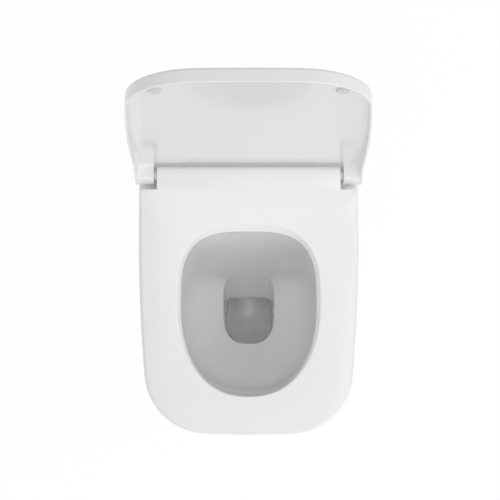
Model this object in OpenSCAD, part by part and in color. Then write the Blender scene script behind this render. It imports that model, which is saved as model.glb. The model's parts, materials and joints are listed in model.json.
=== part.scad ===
// Wall hung toilet: ceramic pan, seat ring and cover on a lift-off soft-close hinge.
// The wall is the plane y = 0 and the pan reaches forward along -Y.
// The height z = 0 is that of the two wall studs.

/* [Pan] */
// Projection from the wall to the front of the rim
pan_l = 530; // [500:5:580]
// Width of the pan at the rim
pan_w = 360; // [350:2:380]
// Height of the rim above the wall studs
rim_z = 80; // [76:1:90]
// Depth of the pan below the wall studs
pan_drop = 272; // [262:2:300]
// Length of the flat underside, from the wall
base_l = 330; // [320:5:370]
// Width of the underside
base_w = 150; // [130:2:180]
// Thickness of the outer ceramic skin
skin_t = 11; // [9:0.5:14]
// Thickness of the top deck
deck_t = 15; // [14:0.5:20]
// Thickness of the bowl's ceramic wall
bowl_t = 10; // [8:0.5:13]
// Rounding of the rim's outer edge
rim_round = 5; // [3:0.5:8]
// Straight length of the pan's sides, from the wall
straight_l = 201; // [180:1:220]
// Radius of the long curve of the sides
side_r = 2570; // [2200:10:3200]
// Radius of the front corners
corner_r = 102; // [90:1:115]
// Radius of the front edge
front_r = 1500; // [1200:50:2000]

/* [Bowl] */
// Distance from the wall to the rear edge of the bowl
bowl_rear = 180; // [170:1:190]
// Width of the rim in front of the bowl
bowl_front_rim = 55; // [48:1:65]
// Width of the rim beside the bowl
bowl_side_rim = 52; // [46:1:60]
// Height of the sump's upper edge
sump_z = -150; // [-160:1:-140]
// Height of the sump's floor
sump_floor_z = -245; // [-248:1:-243]
// Distance from the wall to the sump's straight rear edge
sump_rear = 304; // [295:1:315]
// Length of the sump
sump_l = 83; // [76:1:90]
// Width of the sump
sump_w = 86; // [80:1:96]

/* [Waterway] */
// Inner radius of the trapway
trap_r = 38; // [35:0.5:39]
// Thickness of the trapway's wall
trap_t = 9; // [8:0.5:12]
// Depth of the outlet's centre below the wall studs
outlet_z = -100; // [-105:1:-95]
// Outer radius of the outlet spigot
outlet_r = 51; // [50:0.5:55]
// Inner radius of the outlet spigot
outlet_bore_r = 44; // [40:0.5:45]
// Straight length of the outlet spigot
outlet_l = 60; // [50:1:80]
// Height of the flush inlet's centre above the wall studs
inlet_z = 35; // [32:1:38]
// Inner radius of the flush inlet's socket
inlet_r = 27.5; // [25:0.5:30]
// Depth of the flush inlet's socket
inlet_l = 45; // [35:1:60]
// Radius of the flush channel behind the socket
channel_r = 20; // [16:0.5:22]

/* [Wall fixing] */
// Distance between the two wall studs
stud_pitch = 180; // [180:50:230]
// Radius of the stud holes in the brackets
stud_hole_r = 6.5; // [6.5:0.5:7]
// Thickness of the sound-insulating wall mat
mat_t = 4; // [3:0.5:6]
// Thickness of the fixing brackets
bracket_t = 5; // [4:0.5:6]
// Reach of a bracket's arm from the wall
arm_l = 95; // [88:1:110]
// Distance from the wall to the clamp screws
clamp_y = 70; // [60:1:76]
// Radius of the clamp screws
clamp_r = 5; // [4:0.5:6]
// Radius of the side holes in the ceramic
side_hole_r = 11.2; // [10.5:0.1:13]
// Radius of the side caps
cap_r = 14.7; // [14:0.1:17]

/* [Hinge] */
// Distance from the wall to the hinge axis
hinge_y = 111; // [105:1:118]
// Height of the hinge axis above the rim
hinge_h = 19.5; // [19.5:0.1:21]
// Distance between the two seat fixing holes
hinge_pitch = 155; // [150:1:165]
// Distance of the seat fixing holes in front of the hinge axis
hinge_lead = 2; // [1.8:0.1:2.4]
// Radius of the hinge pins
pin_r = 5; // [4.5:0.1:5.5]
// Radius of the dampers and bushes on the pins
damper_r = 9.5; // [9:0.1:10]
// Radius of the seat fixing holes in the ceramic
fix_hole_r = 8; // [7:0.5:9]
// Radius of the hinge bases
base_r = 20; // [18:0.5:21]
// Thickness of a hinge base
base_t = 2; // [1.5:0.1:2.2]
// Thickness of the soft pad under a hinge base
pad_t = 1; // [0.6:0.1:1.2]
// Radius of the shank of the seat bolts
shank_r = 4; // [3:0.5:4.5]
// Radius of the head of the seat bolts
head_r = 5; // [4.6:0.1:5.2]
// Travel of the release buttons
button_travel = 3; // [2:0.1:3.2]

/* [Seat] */
// Gap from the rim to the underside of the seat
seat_gap = 7.5; // [6:0.5:9]
// Height of the seat's crest above the hinge axis
seat_crest = 13; // [12.5:0.1:13.5]
// Distance of the seat's edge inside the rim's edge
seat_inset = 4; // [3:0.5:6]
// Distance of the hinge tab's ends inside the pan's sides
tab_inset = 31.3; // [30:0.1:33]
// Radius of the rounded rear edge of the tab, about the hinge axis
tab_r = 16.5; // [15.5:0.1:17]
// Distance from the hinge axis to the seat's rear shoulder
shoulder_l = 23.5; // [22:0.5:26]
// Distance from the hinge axis to the seat opening
opening_rear = 78.7; // [74:0.5:84]
// Width of the seat ring in front of the opening, from the rim's edge
opening_front_rim = 62; // [55:1:70]
// Width of the seat ring beside the opening, from the rim's edge
opening_side_rim = 64.5; // [60:0.5:70]
// Width of the bevel behind the opening
bevel_rear = 13; // [10:0.5:16]
// Width of the bevel beside the opening
bevel_side = 6; // [3:0.5:9]

/* [Cover] */
// Distance of the cover's edge outside the rim's edge
lid_out = 4; // [3:0.5:6]
// Gap between the seat's crest and the cover
lid_gap = 3.5; // [3:0.1:4.5]
// Thickness of the cover's panel
lid_t = 4; // [3.5:0.1:5]
// Depth of the cover with its skirt
lid_h = 21; // [18:0.5:24]
// Distance from the hinge axis to the panel's rear edge
panel_rear = 20; // [18:0.5:22]
// Radius of the cover's ears about the hinge axis
ear_r = 14.5; // [13.5:0.1:15.5]
// Gap between the tab and the ears, on each side
ear_gap = 4.9; // [4.5:0.1:6]
// Angle of the opened cover from closed
lid_open = 99; // [95:1:100]

/* [Hidden] */
$fn = 64;
// Gap between pieces that move past each other, running gap on a shaft, clearance of a plain seat
fit_gap = 0.3;
run_gap = 0.05;
slip_gap = 0.1;
// Overlap of joined shapes, overshoot of a cut, and reach of a cut that clears a whole side
eps = 0.01;
cut = 1;
far = 100;
half_w = pan_w / 2;
pan_h = rim_z + pan_drop;
hinge_z = rim_z + hinge_h;
axis_y = -hinge_y;
fix_x = hinge_pitch / 2;
fix_y = axis_y - hinge_lead;

// Outline of the rim: centres of the side, corner and front arcs, and the angles where they meet
side_c = [half_w - side_r, -straight_l];
front_c = [0, front_r - pan_l];
cf = front_r - corner_r;
cs = side_r - corner_r;
sf = side_c - front_c;
sf_len = norm(sf);
along = (cf * cf - cs * cs + sf_len * sf_len) / (2 * sf_len);
across = sqrt(cf * cf - along * along);
corner_c = front_c + along * sf / sf_len + across * [-sf[1], sf[0]] / sf_len;
side_a = atan2(corner_c[1] - side_c[1], corner_c[0] - side_c[0]);
front_a = atan2(corner_c[1] - front_c[1], corner_c[0] - front_c[0]);

function arc(c, r, a0, a1, n, first = 0) = [for (i = [first : n])
  c + r * [cos(a0 + (a1 - a0) * i / n), sin(a0 + (a1 - a0) * i / n)]];
function flip(pts) = [for (i = [len(pts) - 1 : -1 : 0]) [-pts[i][0], pts[i][1]]];
// Closed loop from a right half that ends on the centre line
function mirrored(pts) = concat(pts, flip([for (i = [0 : len(pts) - 2]) pts[i]]));

// Right half of the rim's outline, grown by e, from the rear line y0 to the front centre
function rim_half(e, y0) = concat(
  [for (i = [0 : 2]) [half_w + e, y0 + (-straight_l - y0) * i / 3]],
  arc(side_c, side_r + e, 0, side_a, 6),
  arc(corner_c, corner_r + e, side_a, front_a, 12, 1),
  arc(front_c, front_r + e, front_a, -90, 4, 1));
function rim_loop(e, y0) = mirrored(rim_half(e, y0));

// Solid through rings of [x, y, z] points, each with the same count, from bottom to top
function total(pts, i = 0) = i == len(pts) - 1 ? pts[i] : pts[i] + total(pts, i + 1);
function middle(pts) = total(pts) / len(pts);
module loft(rings) {
  n = len(rings[0]);
  m = len(rings);
  polyhedron(
    points = concat([for (r = rings) each r], [middle(rings[0]), middle(rings[m - 1])]),
    faces = concat(
      [for (i = [0 : n - 1]) let (j = (i + 1) % n) [m * n, j, i]],
      [for (k = [0 : m - 2], i = [0 : n - 1]) let (j = (i + 1) % n) each
        [[k * n + i, (k + 1) * n + j, (k + 1) * n + i], [k * n + i, k * n + j, (k + 1) * n + j]]],
      [for (i = [0 : n - 1]) let (j = (i + 1) % n) [m * n + 1, (m - 1) * n + i, (m - 1) * n + j]]));
}
function lift(loop, z) = [for (p = loop) [p[0], p[1], z]];
function mix(a, b, t) = a + (b - a) * t;

// Smooth curve through knots, with n steps from each knot to the next
function knot(k, i) = k[max(0, min(len(k) - 1, i))];
function curve_at(a, b, c, d, t) =
  (2 * b + (c - a) * t + (2 * a - 5 * b + 4 * c - d) * t * t + (3 * b - a - 3 * c + d) * t * t * t) / 2;
function curve(k, n) = concat(
  [for (i = [0 : len(k) - 2], j = [0 : n - 1])
    curve_at(knot(k, i - 1), knot(k, i), knot(k, i + 1), knot(k, i + 2), j / n)],
  [k[len(k) - 1]]);

// Rings of a tube of radius r about a path in the plane x = 0
function unit(v) = v / norm(v);
function path_dir(p, i) = unit(p[min(i + 1, len(p) - 1)] - p[max(i - 1, 0)]);
function tube_rings(path, r, n) = [for (i = [0 : len(path) - 1])
  let (d = path_dir(path, i), u = [0, -d[2], d[1]])
  [for (k = [0 : n - 1]) path[i] + r * (cos(360 * k / n) * [1, 0, 0] + sin(360 * k / n) * u)]];

module along_y(y0, y1, x, z, r) {
  translate([x, y1, z]) rotate([90, 0, 0]) cylinder(h = y1 - y0, r = r);
}

module along_x(x0, x1, y, z, r) {
  translate([x0, y, z]) rotate([0, 90, 0]) cylinder(h = x1 - x0, r = r);
}

// Hexagonal prism along X or along Y
hex = 6;
module hex_x(x0, x1, y, z, r) {
  translate([x0, y, z]) rotate([0, 90, 0]) cylinder(h = x1 - x0, r = r, $fn = hex);
}

module hex_y(y0, y1, x, z, r) {
  translate([x, y1, z]) rotate([90, 0, 0]) cylinder(h = y1 - y0, r = r, $fn = hex);
}

// Skin of the pan: how far it has drawn in at angle a of its profile, from 0 at the rim to 90 below
belly = 1.7;
profile_n = 12;
profile = [for (i = [1 : profile_n]) 90 * i / profile_n];
function reversed(v) = [for (i = [len(v) - 1 : -1 : 0]) v[i]];
function drop_at(a) = pow(sin(a), 2 / belly);
function in_at(a) = 1 - cos(a);
function z_at(a, e) = rim_z - pan_h * drop_at(a) + e * sin(a);
function wide_at(a) = half_w - (half_w - base_w / 2) * in_at(a);
function long_at(a) = pan_l - (pan_l - base_l) * in_at(a);
// Half width of the skin's outside at height z
function wide_z(z) = half_w - (half_w - base_w / 2) * (1 - sqrt(1 - pow((rim_z - z) / pan_h, belly)));
function scaled_rim(w, l, z) = [for (p = rim_loop(0, 0)) [p[0] * w / half_w, p[1] * l / pan_l, z]];
function pan_ring(a, e) = scaled_rim(wide_at(a) - e, long_at(a) - e, z_at(a, e));

module pan_outside() {
  loft(concat([for (a = reversed(profile)) pan_ring(a, 0)],
    [for (a = [0 : 30 : 90])
      lift(rim_loop(-rim_round * (1 - cos(a)), 0), rim_z - rim_round * (1 - sin(a)))]));
}

module pan_hollow() {
  translate([0, cut, 0]) loft(concat([for (a = reversed(profile)) pan_ring(a, skin_t)],
    [scaled_rim(half_w - skin_t, pan_l - skin_t, rim_z - deck_t)]));
}

// Ring of the bowl between a rear and a front distance from the wall
// Its front is near an ellipse, and a higher rear_power makes its rear edge straighter
bowl_n = 40;
front_power = 2.2;
function power(v, p) = sign(v) * pow(abs(v), p);
function bowl_ring(rear, front, w, rear_power, z) = let (c = -(rear + front) / 2, h = (front - rear) / 2)
  [for (i = [0 : bowl_n - 1]) let (a = -360 * i / bowl_n, q = sin(a) > 0 ? rear_power : front_power)
    [w * power(cos(a), 2 / q), c + h * power(sin(a), 2 / q), z]];

// The bowl runs from the rim to the sump's upper edge, at t = 0 to 1
bowl_front = pan_l - bowl_front_rim;
sump_front = sump_rear + sump_l;
ramp_l = 24;
rim_power = 2.4;
sump_power = 5;
front_fall = 2.2;
side_fall = 1.8;
bowl_steps = 10;
function bowl_at(t, e) = bowl_ring(
  mix(bowl_rear, sump_rear - ramp_l, t) - e,
  mix(bowl_front, sump_front, pow(t, front_fall)) + e,
  mix(half_w - bowl_side_rim, sump_w / 2, pow(t, side_fall)) + e,
  mix(rim_power, sump_power, t * t),
  mix(rim_z, sump_z, t) - e * t * t);
// Sump, from its floor up: distance drawn in from its sides, and height above the floor
sump_profile = [[16, 0], [5, 9], [0, 26]];
sump_front_draw = 1.6;

module bowl(e) {
  loft(concat(
    [for (s = sump_profile) bowl_ring(sump_rear + s[0] - e, sump_front - s[0] * sump_front_draw + e,
      sump_w / 2 - s[0] + e, sump_power, sump_floor_z + s[1] - e)],
    [for (i = [bowl_steps : -1 : 0]) bowl_at(i / bowl_steps, e)],
    [lift(bowl_at(0, e), rim_z + cut)]));
}

// Trapway: from the sump under the dip, over the weir and out to the wall
trap_start_y = -sump_front + 41;
trap_floor_gap = 5;
trap_knots = [
  [0, trap_start_y, sump_floor_z + trap_r + trap_floor_gap],
  [0, -sump_rear + 4, sump_floor_z + 26],
  [0, -sump_rear + 70, sump_floor_z + 52],
  [0, -outlet_l - 122, outlet_z - 34],
  [0, -outlet_l - 80, outlet_z - 5],
  [0, -outlet_l - 30, outlet_z]];
trap_path = concat(curve(trap_knots, 3), [[0, -outlet_l, outlet_z]]);
trap_n = 24;

module trap(e) {
  loft(tube_rings(trap_path, trap_r + e, trap_n));
}

skin_x = wide_z(0);
cap_depth = 3;
cap_seat_x = skin_x - cap_depth;
tube_overlap = 20;

module pan() {
  color("white") difference() {
    pan_outside();
    difference() {
      pan_hollow();
      bowl(bowl_t);
      trap(trap_t);
      along_y(-bowl_rear - tube_overlap, 2 * cut, 0, inlet_z, inlet_r + trap_t);
      along_y(-outlet_l - tube_overlap / 2, 2 * cut, 0, outlet_z, outlet_r);
    }
    bowl(0);
    trap(0);
    along_y(-outlet_l - cut, cut, 0, outlet_z, outlet_bore_r);
    along_y(-mat_t - inlet_l, cut, 0, inlet_z, inlet_r);
    along_y(-bowl_rear - 2 * tube_overlap, -mat_t - inlet_l + cut, 0, inlet_z, channel_r);
    for (s = [-1, 1]) {
      translate([s * fix_x, fix_y, rim_z - deck_t - cut]) cylinder(h = deck_t + 2 * cut, r = fix_hole_r);
      scale([s, 1, 1]) along_x(skin_x - 2 * skin_t, skin_x + skin_t, -clamp_y, 0, side_hole_r);
      scale([s, 1, 1]) along_x(cap_seat_x, skin_x + skin_t, -clamp_y, 0, cap_r + fit_gap);
    }
    translate([-pan_w, -mat_t, -pan_h]) cube([2 * pan_w, mat_t + 2 * cut, 2 * pan_h]);
  }
}

// Wall mat: a foam strip that follows the rear edge of the skin
mat_inset = 1;
function rear_loop(e) = concat([[half_w - e, rim_z - e]], [for (a = profile) [wide_at(a) - e, z_at(a, e)]]);

module wall_mat() {
  color("whitesmoke") rotate([90, 0, 0]) linear_extrude(mat_t) difference() {
    polygon(concat(rear_loop(mat_inset), flip(rear_loop(mat_inset))));
    polygon(concat(rear_loop(skin_t - mat_inset), flip(rear_loop(skin_t - mat_inset))));
  }
}

// Wall brackets with their washers and nuts
plate_w = 58;
plate_h = 56;
arm_h = 40;
arm_x = stud_pitch / 2 + plate_w / 2;

module fixing_bracket(s) {
  color("silver") scale([s, 1, 1]) difference() {
    union() {
      translate([arm_x - plate_w, -bracket_t, -plate_h / 2]) cube([plate_w, bracket_t, plate_h]);
      translate([arm_x - bracket_t, -arm_l, -arm_h / 2]) cube([bracket_t, arm_l, arm_h]);
    }
    along_y(-bracket_t - cut, cut, stud_pitch / 2, 0, stud_hole_r);
    along_x(arm_x - bracket_t - cut, arm_x + cut, -clamp_y, 0, clamp_r);
  }
}

washer_r = 12;
washer_t = 2.5;
nut_r = 11;
nut_t = 10;
thread_depth = 0.4;
nut_y = -bracket_t - washer_t;

module bracket_washers() {
  color("silver") for (s = [-1, 1]) difference() {
    along_y(nut_y, -bracket_t, s * stud_pitch / 2, 0, washer_r);
    along_y(nut_y - cut, 0, s * stud_pitch / 2, 0, stud_hole_r);
  }
}

module bracket_nuts() {
  color("silver") for (s = [-1, 1]) difference() {
    hex_y(nut_y - nut_t, nut_y, s * stud_pitch / 2, 0, nut_r);
    along_y(nut_y - nut_t - cut, 0, s * stud_pitch / 2, 0, stud_hole_r - thread_depth);
  }
}

// Clamp screws, from the side holes into the bracket arms, with their sleeves and caps
sleeve_wall = 4;
sleeve_bore_r = side_hole_r - sleeve_wall;
sleeve_reach = 12;
sleeve_in_x = skin_x - skin_t - sleeve_reach;
sleeve_end_t = 4;
lip_at = 3;
lip_t = 4;
lip_w = 3;
screw_head_x = sleeve_in_x + sleeve_end_t;
screw_head_l = 8;
screw_point_l = 8;
hex_depth = 5;
hex_r = 3.4;
cap_proud = 0.6;
cap_plug_l = 5;

module clamp_screw(s) {
  color("silver") scale([s, 1, 1]) difference() {
    union() {
      along_x(arm_x - bracket_t - screw_point_l, screw_head_x, -clamp_y, 0, clamp_r - run_gap);
      along_x(screw_head_x, screw_head_x + screw_head_l, -clamp_y, 0, sleeve_bore_r - fit_gap);
    }
    hex_x(screw_head_x + screw_head_l - hex_depth, screw_head_x + screw_head_l + cut, -clamp_y, 0, hex_r);
  }
}

module side_sleeve(s) {
  color("dimgray") scale([s, 1, 1]) difference() {
    union() {
      along_x(sleeve_in_x, cap_seat_x - slip_gap, -clamp_y, 0, side_hole_r - slip_gap);
      along_x(sleeve_in_x + lip_at, sleeve_in_x + lip_at + lip_t, -clamp_y, 0, side_hole_r + lip_w);
    }
    along_x(sleeve_in_x - cut, screw_head_x + cut, -clamp_y, 0, clamp_r + run_gap);
    along_x(screw_head_x, cap_seat_x + cut, -clamp_y, 0, sleeve_bore_r);
  }
}

module side_cap(s) {
  color("white") scale([s, 1, 1]) {
    along_x(cap_seat_x, skin_x + cap_proud, -clamp_y, 0, cap_r);
    along_x(cap_seat_x - cap_plug_l, cap_seat_x, -clamp_y, 0, sleeve_bore_r - slip_gap);
  }
}

// Seat fixings: pad and base on the deck, a headed bolt, and its rubber anchor below the deck
pad_z = rim_z + pad_t;
base_top = pad_z + base_t;
base_chamfer = 0.5;
bolt_collar_t = 1.5;
bolt_collar_r = head_r + 1;
neck_h = 3.5;
neck_r = head_r - 1.8;
neck_z = base_top + bolt_collar_t;
head_z = neck_z + neck_h;
head_h = 2.5;
head_chamfer = 1.2;
anchor_drop = 14;
anchor_lip = 2;
sleeve_z = rim_z - deck_t - anchor_drop;
anchor_nut_h = 8;
anchor_nut_r = shank_r + 3.5;
bolt_end = 3;
bolt_z = sleeve_z - anchor_nut_h - bolt_end;

module at_fixing(s) {
  translate([s * fix_x, fix_y, 0]) scale([s, 1, 1]) children();
}

module base_pads() {
  color("dimgray") for (s = [-1, 1]) at_fixing(s) difference() {
    translate([0, 0, rim_z]) cylinder(h = pad_t, r = base_r - base_chamfer);
    translate([0, 0, rim_z - cut]) cylinder(h = pad_t + 2 * cut, r = shank_r + slip_gap);
  }
}

module hinge_base(s) {
  color("silver") at_fixing(s) difference() {
    union() {
      translate([0, 0, pad_z]) cylinder(h = base_t - base_chamfer, r = base_r);
      translate([0, 0, base_top - base_chamfer])
        cylinder(h = base_chamfer, r1 = base_r, r2 = base_r - base_chamfer);
    }
    translate([0, 0, pad_z - cut]) cylinder(h = base_t + 2 * cut, r = shank_r + slip_gap);
  }
}

module seat_bolt(s) {
  color("silver") at_fixing(s) {
    translate([0, 0, bolt_z]) cylinder(h = base_top + eps - bolt_z, r = shank_r);
    translate([0, 0, base_top]) cylinder(h = bolt_collar_t, r = bolt_collar_r);
    translate([0, 0, neck_z - eps]) cylinder(h = neck_h + 2 * eps, r = neck_r);
    translate([0, 0, head_z]) cylinder(h = head_h / 2, r = head_r);
    translate([0, 0, head_z + head_h / 2]) cylinder(h = head_h / 2, r1 = head_r, r2 = head_r - head_chamfer);
  }
}

module anchor_sleeve(s) {
  color("dimgray") at_fixing(s) difference() {
    translate([0, 0, sleeve_z]) union() {
      cylinder(h = rim_z - 2 * slip_gap - sleeve_z, r = fix_hole_r - 2 * slip_gap);
      cylinder(h = anchor_drop - fit_gap, r = fix_hole_r + anchor_lip);
    }
    translate([0, 0, sleeve_z - cut]) cylinder(h = rim_z - sleeve_z + 2 * cut, r = shank_r + slip_gap);
  }
}

module anchor_nut(s) {
  color("silver") at_fixing(s) difference() {
    translate([0, 0, sleeve_z - anchor_nut_h]) cylinder(h = anchor_nut_h, r = anchor_nut_r, $fn = hex);
    translate([0, 0, sleeve_z - anchor_nut_h - cut])
      cylinder(h = anchor_nut_h + 2 * cut, r = shank_r + run_gap);
  }
}

// Hinge carriage: two posts that sit over the bolt heads and hold the pins
post_y = 8.3;
post_x = 11;
barrel_r = 8.5;
post_gap = 0.4;
post_bottom = base_top + post_gap;
socket_gap = 0.5;
clip_r = 1.2;
clip_z = neck_z + socket_gap + clip_r;
clip_y = neck_r + fit_gap + clip_r;
slot_y = clip_y + clip_r + 2 * slip_gap;
socket_top = head_z + head_h + 0.7;
spring_hole = 4.5;
spring_hole_r = 2;
spring_z = socket_top - 1.4;
tab_half = half_w - tab_inset;
ear_x = tab_half + ear_gap;
lid_half = half_w + lid_out;
pin_inset = 6;
pin_end_x = lid_half - pin_inset;
pin_chamfer = 1;

module hinge_post(s) {
  color("silver") at_fixing(s) difference() {
    union() {
      translate([-post_x, -post_y, post_bottom]) cube([2 * post_x, 2 * post_y, hinge_z - post_bottom]);
      along_x(-post_x, post_x, hinge_lead, hinge_z, barrel_r);
    }
    translate([0, 0, post_bottom - cut])
      cylinder(h = neck_z + post_gap - post_bottom + cut, r = bolt_collar_r + socket_gap);
    translate([0, 0, post_bottom]) cylinder(h = socket_top - post_bottom, r = head_r + socket_gap);
    translate([-post_x - cut, -slot_y, clip_z - clip_r - slip_gap])
      cube([post_x + clip_y + 2 * clip_r + cut + socket_gap, 2 * slot_y, 2 * (clip_r + slip_gap)]);
    along_x(-post_x - cut, -post_x + spring_hole, 0, spring_z, spring_hole_r);
    along_x(-post_x - cut, post_x + cut, hinge_lead, hinge_z, pin_r);
  }
}

module hinge_pin(s) {
  color("silver") translate([0, axis_y, 0]) scale([s, 1, 1]) {
    along_x(fix_x - post_x, pin_end_x - pin_chamfer, 0, hinge_z, pin_r);
    translate([pin_end_x - pin_chamfer, 0, hinge_z]) rotate([0, 90, 0])
      cylinder(h = pin_chamfer, r1 = pin_r, r2 = pin_r - pin_chamfer);
  }
}

collar_r = 8.75;
collar_gap = 0.4;
module hinge_collars() {
  color("white") for (s = [-1, 1]) translate([0, axis_y, 0]) scale([s, 1, 1]) difference() {
    along_x(tab_half + collar_gap, ear_x - collar_gap, 0, hinge_z, collar_r);
    along_x(tab_half - cut, ear_x + cut, 0, hinge_z, pin_r);
  }
}

// Hairpin that grips the neck of the seat bolt: two legs and a half-round bend
clip_leg = post_x - 1;
module release_clip(s) {
  color("silver") at_fixing(s) translate([0, 0, clip_z]) {
    for (m = [-1, 1]) along_x(-clip_leg, 0, m * clip_y, 0, clip_r);
    rotate([0, 0, -90]) rotate_extrude(angle = 180) translate([clip_y, 0]) circle(r = clip_r);
  }
}

// Coil spring behind each release button
button_gap = 0.6;
button_reach = button_travel + button_gap;
spring_wire = 0.35;
spring_coil_r = 1.5;
spring_turns = 5;
turn_n = 10;
wire_n = 6;
spring_l = button_reach + spring_hole - slip_gap;
spring_rise = spring_l - 2 * spring_wire;
function coil(t) = [spring_wire + spring_rise * t, spring_coil_r * cos(360 * spring_turns * t),
  spring_coil_r * sin(360 * spring_turns * t)];
function coil_ring(t) = let (c = coil(t), out = unit([0, c[1], c[2]]),
  d = unit([spring_rise / (2 * PI * spring_turns * spring_coil_r), -out[2], out[1]]),
  w = cross(d, out))
  [for (k = [0 : wire_n - 1]) c + spring_wire * (cos(-360 * k / wire_n) * out + sin(-360 * k / wire_n) * w)];

module button_spring(s) {
  spring_n = spring_turns * turn_n;
  color("silver") at_fixing(s) translate([-post_x + spring_hole - spring_l, 0, spring_z])
    loft([for (i = [0 : spring_n]) coil_ring(i / spring_n)]);
}

// Release button: a cap and a tongue that runs through the slot to the clip
cap_t = 3;
cap_w = 13;
cap_h = 8;
tongue_in = 0.4;
tongue_h = 1.8;
tongue_gap = 4.5;
module release_button(s) {
  color("white") at_fixing(s) {
    translate([-post_x - button_reach - cap_t, -cap_w / 2, clip_z - clip_r - 2 * slip_gap])
      cube([cap_t, cap_w, cap_h]);
    translate([-post_x - button_reach - eps, tongue_in - neck_r, clip_z - tongue_h / 2])
      cube([button_reach + post_x - head_r - tongue_gap, 2 * (neck_r - tongue_in), tongue_h]);
  }
}

// Seat ring
seat_bottom = rim_z + seat_gap;
crest_z = hinge_z + seat_crest;
shoulder_y = axis_y - shoulder_l;
open_rear_y = axis_y - opening_rear;
open_front_y = -pan_l + opening_front_rim;
opening_w = pan_w - 2 * opening_side_rim;

// Outline of the seat opening, grown by e: broad at the rear and narrower at the front
opening_n = 52;
wide_share = 0.44;
bevel_front = 1;
open_rear_power = 2.7;
open_front_power = 2.25;
function opening_loop(w, rear, front) = let (c = mix(rear, front, wide_share))
  [for (i = [0 : opening_n - 1])
    let (a = 90 - (i + 0.5) * 360 / opening_n, q = sin(a) > 0 ? open_rear_power : open_front_power,
      h = sin(a) > 0 ? rear - c : c - front)
    [w / 2 * power(cos(a), 2 / q), c + h * power(sin(a), 2 / q)]];
function opening_upper(e) = opening_loop(opening_w + 2 * e, open_rear_y + e, open_front_y - e);
function opening_lower(e) = opening_loop(opening_w - 2 * bevel_side + 2 * e, open_rear_y - bevel_rear + e,
  open_front_y + bevel_front - e);

// The upper side falls outwards from the crest, but less so beside the hinge
// Crown, from the edge in: distance inside the edge and drop below the crest
crown = [[0, 8], [1.2, 5.6], [4, 4], [12, 2.6], [30, 0.9]];
crown_w = 45;
seat_edge = 2;
rise_start = 40;
rise_l = 36;
rise_share = 0.75;
function rise_at(y) = rise_share * max(0, min(1, (y - shoulder_y + rise_start) / rise_l));
function seat_loop(e, drop) = [for (p = rim_loop(-seat_inset - e, shoulder_y))
  [p[0], p[1], crest_z - drop * (1 - rise_at(p[1]))]];

module seat_body() {
  loft(concat(
    [lift(rim_loop(-seat_inset - seat_edge, shoulder_y), seat_bottom),
      lift(rim_loop(-seat_inset, shoulder_y), seat_bottom + seat_edge)],
    [for (c = crown) seat_loop(c[0], c[1])],
    [lift(rim_loop(-seat_inset - crown_w, shoulder_y), crest_z)]));
}

// Section of the hinge tab in [y, z] about the hinge axis, level with the crest
tab_run = 8;
module tab_section() {
  intersection() {
    union() {
      circle(r = tab_r);
      translate([-shoulder_l - tab_run, seat_bottom - hinge_z])
        square([shoulder_l + tab_run, crest_z - seat_bottom]);
    }
    translate([-shoulder_l - tab_run, -tab_r])
      square([shoulder_l + tab_run + tab_r, tab_r + seat_crest]);
  }
}

// Extrudes a section drawn in [y, z] along X
module across_x(x0, x1, y, z) {
  translate([x0, y, z]) rotate([90, 0, 90]) linear_extrude(x1 - x0) children();
}

pocket_side = 27;
pocket_x = fix_x + pocket_side;
pocket_front = 13;
cover_t = 4;
inner_chamfer = 2.5;
bevel_h = 9;
top_round = 1.4;
seat_rib = 12;
open_rib = 9;
cavity_h = 11;
cavity_rear = 30;
boss_t = 4;
buffer_r = 8;
buffer_pin_r = 3;
buffer_pin_h = 5;
front_buffer_in = 76;
front_buffer_back = 72;
rear_buffer_in = 32;
rear_buffer_back = 130;
buffer_spots = [for (s = [-1, 1]) each [[s * (half_w - front_buffer_in), -pan_l + front_buffer_back],
  [s * (half_w - rear_buffer_in), axis_y - rear_buffer_back]]];

module seat_ring() {
  color("white") difference() {
    union() {
      seat_body();
      across_x(-tab_half, tab_half, axis_y, hinge_z) tab_section();
    }
    loft([
      lift(opening_lower(inner_chamfer), seat_bottom - cut),
      lift(opening_lower(0), seat_bottom + inner_chamfer),
      lift(opening_lower(0), crest_z - bevel_h),
      lift(opening_upper(-top_round / 2), crest_z - top_round),
      lift(opening_upper(top_round), crest_z + cut)]);
    across_x(-pocket_x, pocket_x, axis_y, hinge_z) translate([-pocket_front, -tab_r - cut])
      square([pocket_front + tab_r + cut, tab_r + cut + seat_crest - cover_t]);
    for (s = [-1, 1]) scale([s, 1, 1]) along_x(pocket_x - cut, tab_half + cut, axis_y, hinge_z, damper_r);
    translate([0, 0, seat_bottom - cut]) linear_extrude(cavity_h + cut) difference() {
      polygon(rim_loop(-seat_inset - seat_rib, shoulder_y - cavity_rear));
      polygon(opening_lower(open_rib));
      for (p = buffer_spots) translate(p) circle(r = buffer_r + boss_t);
    }
    for (p = buffer_spots) translate([p[0], p[1], seat_bottom - cut])
      cylinder(h = buffer_pin_h + 2 * cut, r = buffer_pin_r);
  }
}

buffer_chamfer = 1.5;
module seat_buffers() {
  foot_z = rim_z + fit_gap;
  color("gainsboro") for (p = buffer_spots) translate([p[0], p[1], 0]) {
    translate([0, 0, foot_z]) cylinder(h = buffer_chamfer, r1 = buffer_r - buffer_chamfer, r2 = buffer_r);
    translate([0, 0, foot_z + buffer_chamfer])
      cylinder(h = seat_bottom - foot_z - buffer_chamfer, r = buffer_r);
    translate([0, 0, seat_bottom - eps]) cylinder(h = buffer_pin_h, r = buffer_pin_r - slip_gap);
  }
}

// Cylinder on the hinge pin, with a running bore
fit_slide = 0.02;
module on_pin(s, x0, x1) {
  translate([0, axis_y, 0]) scale([s, 1, 1]) difference() {
    along_x(x0, x1, 0, hinge_z, damper_r - fit_slide);
    along_x(x0 - cut, x1 + cut, 0, hinge_z, pin_r + run_gap);
  }
}

bush_l = 30;
module seat_damper_left() {
  color("dimgray") on_pin(-1, pocket_x + fit_gap, tab_half - slip_gap);
}

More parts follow.
